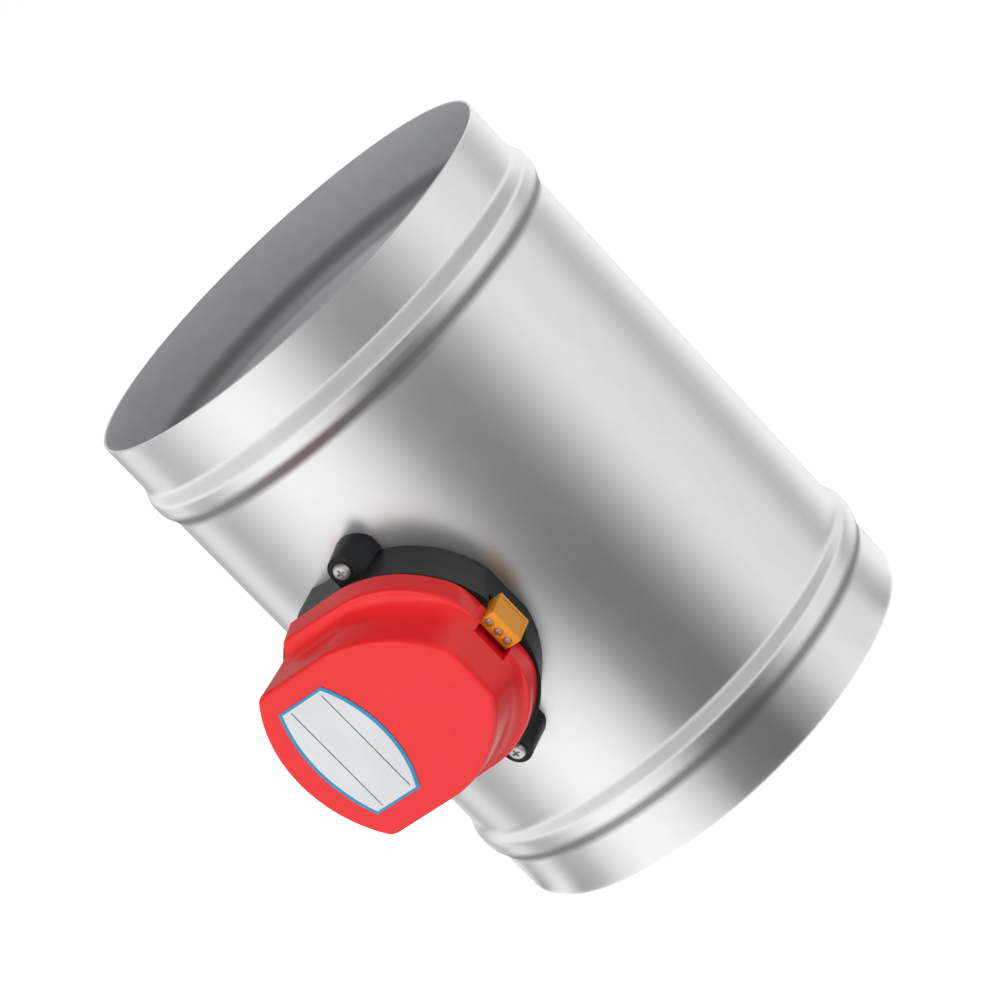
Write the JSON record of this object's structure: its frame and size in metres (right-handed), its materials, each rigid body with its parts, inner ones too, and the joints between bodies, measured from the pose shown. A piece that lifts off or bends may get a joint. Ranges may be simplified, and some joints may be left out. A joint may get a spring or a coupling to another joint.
{
  "type": "volume control damper",
  "caption": "Round duct damper: a steel casing with a beaded spigot at each end, a sealed pivoting blade on a cross shaft, and a geared electric actuator in a red housing.",
  "frame": {"origin": "centre of the lower spigot's open end, on the duct axis", "axes": "+Z along the duct axis to the upper spigot; the blade shaft lies along Y at mid-length; the actuator is on the -Y side and its terminal block faces +X"},
  "size_m": [0.153, 0.1927, 0.194],
  "materials": {
    "galvanised_sheet": "satin galvanised sheet, fine spangle",
    "bright_steel": "turned bright steel",
    "zinc_fastener": "zinc plated",
    "aluminium_rivet": "as formed",
    "nylon_natural": "moulded nylon",
    "black_rubber": "matte",
    "black_plastic": "moulded, fine grain",
    "gear_acetal": "moulded acetal",
    "brass": "machined",
    "red_plastic": "semi-gloss moulded",
    "orange_plastic": "moulded",
    "label_film": "printed film",
    "board_green": "solder mask",
    "component_black": "moulded"
  },
  "bodies": {
    "housing": {"casing": "galvanised_sheet", "drive_bush": "nylon_natural", "idle_bush": "nylon_natural", "thrust_washer": "nylon_natural", "actuator_base": "black_plastic", "ear_screws": "zinc_fastener", "gear_spindle": "bright_steel", "gear_plate": "bright_steel", "gear_plate_screws": "zinc_fastener", "motor": "bright_steel", "motor_screws": "zinc_fastener", "circuit_board": "board_green", "board_screws": "zinc_fastener", "board_components": "component_black", "terminal_block": "orange_plastic", "terminal_screws": "zinc_fastener", "terminal_pins": "brass", "cover": "red_plastic", "label_plate": "label_film"},
    "blade": {"damper_shaft": "bright_steel", "shaft_clip": "bright_steel", "blade_plate_upper": "galvanised_sheet", "blade_plate_lower": "galvanised_sheet", "blade_seal": "black_rubber", "blade_rivets": "aluminium_rivet", "blade_bolts": "zinc_fastener", "blade_nuts": "zinc_fastener", "output_gear": "gear_acetal", "hub_washer": "zinc_fastener", "hub_screw": "zinc_fastener"},
    "intermediate_gear": {"intermediate_gear": "gear_acetal"},
    "motor_pinion": {"motor_pinion": "brass"}
  },
  "joints": [
    {"name": "blade_turn", "type": "hinge", "parent": "housing", "child": "blade", "pos_m": [0, 0, 0.097], "axis": [0, 1, 0], "range_deg": [0, 90]},
    {"name": "intermediate_spin", "type": "hinge", "parent": "housing", "child": "intermediate_gear", "pos_m": [-0.024, 0, 0.097], "axis": [0, 1, 0], "range_deg": [-360, 0]},
    {"name": "motor_spin", "type": "hinge", "parent": "housing", "child": "motor_pinion", "pos_m": [-0.01436, 0, 0.10849], "axis": [0, 1, 0], "range_deg": [0, 1440]}
  ],
  "couplings": [
    {"joint": "intermediate_spin", "follows": "blade_turn", "ratio": -4},
    {"joint": "motor_spin", "follows": "blade_turn", "ratio": 16}
  ]
}
